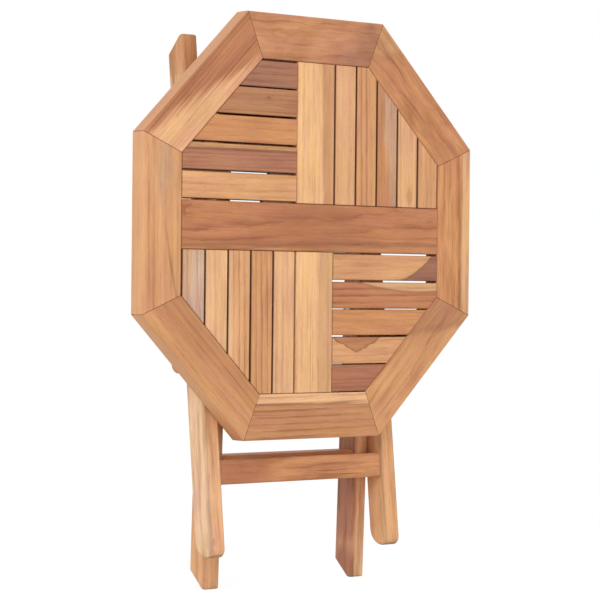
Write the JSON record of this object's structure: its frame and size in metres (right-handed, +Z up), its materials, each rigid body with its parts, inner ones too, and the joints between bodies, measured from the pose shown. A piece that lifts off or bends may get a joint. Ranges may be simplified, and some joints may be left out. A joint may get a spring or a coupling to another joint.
{
  "type": "folding garden side table",
  "caption": "Octagonal folding side table: slatted hardwood top with mitred rims, hinged to a crossed pair of leg frames that fold flat behind it.",
  "frame": {"origin": "middle of the tabletop's face", "axes": "the table is folded and stands on edge: +Z up along the top, -Y out of the top's face, +X to the right seen from the face"},
  "size_m": [0.5, 0.1018, 0.6766],
  "materials": {
    "teak_golden": "oiled, satin",
    "teak_tan": "oiled, satin",
    "teak_orange": "oiled, satin",
    "teak_brown": "oiled, satin",
    "teak_mauve": "oiled, satin",
    "zinc_steel": "zinc plated"
  },
  "bodies": {
    "inner_frame": {"inner_leg_left": "teak_tan", "inner_leg_right": "teak_tan", "inner_head_rail": "teak_tan", "inner_foot_rail": "teak_tan", "pivot_bolt_left": "zinc_steel", "pivot_bolt_right": "zinc_steel", "pivot_nut_left": "zinc_steel", "pivot_nut_right": "zinc_steel", "pivot_washer_left": "zinc_steel", "pivot_washer_right": "zinc_steel", "hinge_bolt_left": "zinc_steel", "hinge_bolt_right": "zinc_steel", "hinge_nut_left": "zinc_steel", "hinge_nut_right": "zinc_steel", "hinge_washer_left": "zinc_steel", "hinge_washer_right": "zinc_steel"},
    "outer_frame": {"outer_leg_left": "teak_tan", "outer_leg_right": "teak_tan", "outer_head_rail": "teak_orange", "outer_foot_rail": "teak_orange"},
    "tabletop": {"rim_top": "teak_orange", "rim_top_right": "teak_orange", "rim_right": "teak_tan", "rim_bottom_right": "teak_tan", "rim_bottom": "teak_tan", "rim_bottom_left": "teak_orange", "rim_left": "teak_tan", "rim_top_left": "teak_brown", "centre_plank": "teak_brown", "upper_mullion": "teak_tan", "lower_mullion": "teak_golden", "slat_upper_right_1": "teak_tan", "slat_upper_right_2": "teak_tan", "slat_upper_right_3": "teak_brown", "slat_upper_right_4": "teak_tan", "slat_upper_right_5": "teak_orange", "slat_upper_left_1": "teak_golden", "slat_upper_left_2": "teak_mauve", "slat_upper_left_3": "teak_orange", "slat_upper_left_4": "teak_brown", "slat_upper_left_5": "teak_mauve", "slat_lower_left_1": "teak_mauve", "slat_lower_left_2": "teak_golden", "slat_lower_left_3": "teak_tan", "slat_lower_left_4": "teak_mauve", "slat_lower_left_5": "teak_golden", "slat_lower_right_1": "teak_tan", "slat_lower_right_2": "teak_brown", "slat_lower_right_3": "teak_orange", "slat_lower_right_4": "teak_golden", "slat_lower_right_5": "teak_mauve", "centre_batten": "teak_orange", "hinge_block_left": "teak_orange", "catch_block_left": "teak_orange", "hinge_block_right": "teak_orange", "catch_block_right": "teak_orange"}
  },
  "joints": [
    {"name": "scissor", "type": "hinge", "parent": "inner_frame", "child": "outer_frame", "pos_m": [0, 0.05296, -0.1], "axis": [-1, 0, 0], "range_deg": [0, 92.7]},
    {"name": "top_hinge", "type": "hinge", "parent": "inner_frame", "child": "tabletop", "pos_m": [0, 0.04348, 0.17152], "axis": [-1, 0, 0], "range_deg": [0, 48.5]}
  ],
  "couplings": [
    {"joint": "top_hinge", "follows": "scissor", "ratio": 0.52319}
  ]
}
